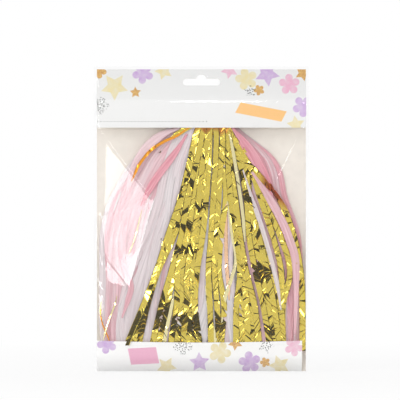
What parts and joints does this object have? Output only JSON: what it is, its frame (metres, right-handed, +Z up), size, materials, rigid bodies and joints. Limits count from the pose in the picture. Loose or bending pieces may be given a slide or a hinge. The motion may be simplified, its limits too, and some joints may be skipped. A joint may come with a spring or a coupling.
{
  "type": "tassel garland pack",
  "caption": "Hanging retail pack of foil and tissue paper tassels for a garland: fringes fanned in front of a folded card, in a clear bag.",
  "frame": {"origin": "centre of the hang slot, on the front face of the card's back panel", "axes": "+Z up as the pack hangs, +X to the right of someone facing it, -Y out of its front"},
  "size_m": [0.1838, 0.0149, 0.262],
  "materials": {
    "coated_card": "white coated card, satin, printed with pale motifs",
    "card_inside": "uncoated pale beige board",
    "clear_film": "clear polypropylene film, glossy, creased",
    "clear_tape": "clear adhesive tape",
    "gold_foil": "metallised gold film, crumpled, mirror bright",
    "pink_tissue": "pink tissue paper, matt, slightly see-through",
    "white_tissue": "white tissue paper, matt, slightly see-through"
  },
  "bodies": {
    "bag": {"bag_back_film": "clear_film", "bag_front_film": "clear_film"},
    "card": {"backing_panel": "card_inside", "head_strap": "clear_tape"},
    "header_flap": {"header_flap": "coated_card"},
    "footer_flap": {"footer_flap": "coated_card"},
    "tassel_01": {"tassel_01_head": "pink_tissue", "tassel_01_fringe": "pink_tissue"},
    "tassel_02": {"tassel_02_head": "gold_foil", "tassel_02_fringe": "gold_foil"},
    "tassel_03": {"tassel_03_head": "gold_foil", "tassel_03_fringe": "gold_foil"},
    "tassel_04": {"tassel_04_head": "white_tissue", "tassel_04_fringe": "white_tissue"},
    "tassel_05": {"tassel_05_head": "white_tissue", "tassel_05_fringe": "white_tissue"},
    "tassel_06": {"tassel_06_head": "pink_tissue", "tassel_06_fringe": "pink_tissue"},
    "tassel_07": {"tassel_07_head": "white_tissue", "tassel_07_fringe": "white_tissue"},
    "tassel_08": {"tassel_08_head": "gold_foil", "tassel_08_fringe": "gold_foil"},
    "tassel_09": {"tassel_09_head": "white_tissue", "tassel_09_fringe": "white_tissue"},
    "tassel_10": {"tassel_10_head": "pink_tissue", "tassel_10_fringe": "pink_tissue"},
    "tassel_11": {"tassel_11_head": "gold_foil", "tassel_11_fringe": "gold_foil"},
    "tassel_12": {"tassel_12_head": "white_tissue", "tassel_12_fringe": "white_tissue"},
    "tassel_13": {"tassel_13_head": "gold_foil", "tassel_13_fringe": "gold_foil"},
    "tassel_14": {"tassel_14_head": "pink_tissue", "tassel_14_fringe": "pink_tissue"},
    "tassel_15": {"tassel_15_head": "pink_tissue", "tassel_15_fringe": "pink_tissue"},
    "tassel_16": {"tassel_16_head": "pink_tissue", "tassel_16_fringe": "pink_tissue"},
    "tassel_17": {"tassel_17_head": "white_tissue", "tassel_17_fringe": "white_tissue"},
    "tassel_18": {"tassel_18_head": "gold_foil", "tassel_18_fringe": "gold_foil"}
  },
  "joints": [
    {"name": "contents_slide", "type": "slide", "parent": "bag", "child": "card", "axis": [0, 0, 1], "range_m": [0, 0.265], "deforming": ["bag_front_film"]},
    {"name": "header_crease", "type": "hinge", "parent": "card", "child": "header_flap", "pos_m": [0, -0.00015, 0.0109], "axis": [-1, 0, 0], "range_deg": [0, 2]},
    {"name": "footer_crease", "type": "hinge", "parent": "card", "child": "footer_flap", "pos_m": [0, -0.00015, -0.2469], "axis": [1, 0, 0], "range_deg": [0, 3.5]},
    {"name": "tassel_01_swing", "type": "hinge", "parent": "card", "child": "tassel_01", "pos_m": [-0.0201, -0.00165, -0.0117], "axis": [0, 1, 0], "range_deg": [-3, 1.2]},
    {"name": "tassel_02_swing", "type": "hinge", "parent": "card", "child": "tassel_02", "pos_m": [0.0279, -0.00165, -0.0117], "axis": [0, 1, 0], "range_deg": [-1.1, 3]},
    {"name": "tassel_03_swing", "type": "hinge", "parent": "card", "child": "tassel_03", "pos_m": [-0.0105, -0.00165, -0.0117], "axis": [0, 1, 0], "range_deg": [-3, 1.2]},
    {"name": "tassel_04_swing", "type": "hinge", "parent": "card", "child": "tassel_04", "pos_m": [0.0183, -0.00165, -0.0117], "axis": [0, 1, 0], "range_deg": [-1.1, 3]},
    {"name": "tassel_05_swing", "type": "hinge", "parent": "card", "child": "tassel_05", "pos_m": [-0.0009, -0.00165, -0.0117], "axis": [0, 1, 0], "range_deg": [-3, 3]},
    {"name": "tassel_06_swing", "type": "hinge", "parent": "card", "child": "tassel_06", "pos_m": [0.0087, -0.00165, -0.0117], "axis": [0, 1, 0], "range_deg": [-3, 3]},
    {"name": "tassel_07_swing", "type": "hinge", "parent": "card", "child": "tassel_07", "pos_m": [-0.0201, -0.00465, -0.0157], "axis": [0, 1, 0], "range_deg": [-3, 1.2]},
    {"name": "tassel_08_swing", "type": "hinge", "parent": "card", "child": "tassel_08", "pos_m": [0.0279, -0.00465, -0.0157], "axis": [0, 1, 0], "range_deg": [-1.1, 3]},
    {"name": "tassel_09_swing", "type": "hinge", "parent": "card", "child": "tassel_09", "pos_m": [-0.0105, -0.00465, -0.0157], "axis": [0, 1, 0], "range_deg": [-3, 1.2]},
    {"name": "tassel_10_swing", "type": "hinge", "parent": "card", "child": "tassel_10", "pos_m": [0.0183, -0.00465, -0.0157], "axis": [0, 1, 0], "range_deg": [-1.1, 3]},
    {"name": "tassel_11_swing", "type": "hinge", "parent": "card", "child": "tassel_11", "pos_m": [-0.0009, -0.00465, -0.0157], "axis": [0, 1, 0], "range_deg": [-3, 3]},
    {"name": "tassel_12_swing", "type": "hinge", "parent": "card", "child": "tassel_12", "pos_m": [0.0087, -0.00465, -0.0157], "axis": [0, 1, 0], "range_deg": [-3, 3]},
    {"name": "tassel_13_swing", "type": "hinge", "parent": "card", "child": "tassel_13", "pos_m": [-0.0201, -0.00765, -0.0197], "axis": [0, 1, 0], "range_deg": [-3, 1.2]},
    {"name": "tassel_14_swing", "type": "hinge", "parent": "card", "child": "tassel_14", "pos_m": [0.0279, -0.00765, -0.0197], "axis": [0, 1, 0], "range_deg": [-1.1, 3]},
    {"name": "tassel_15_swing", "type": "hinge", "parent": "card", "child": "tassel_15", "pos_m": [-0.0105, -0.00765, -0.0197], "axis": [0, 1, 0], "range_deg": [-3, 1.2]},
    {"name": "tassel_16_swing", "type": "hinge", "parent": "card", "child": "tassel_16", "pos_m": [0.0183, -0.00765, -0.0197], "axis": [0, 1, 0], "range_deg": [-1.1, 3]},
    {"name": "tassel_17_swing", "type": "hinge", "parent": "card", "child": "tassel_17", "pos_m": [-0.0009, -0.00765, -0.0197], "axis": [0, 1, 0], "range_deg": [-3, 3]},
    {"name": "tassel_18_swing", "type": "hinge", "parent": "card", "child": "tassel_18", "pos_m": [0.0087, -0.00765, -0.0197], "axis": [0, 1, 0], "range_deg": [-0.6, 3]}
  ]
}
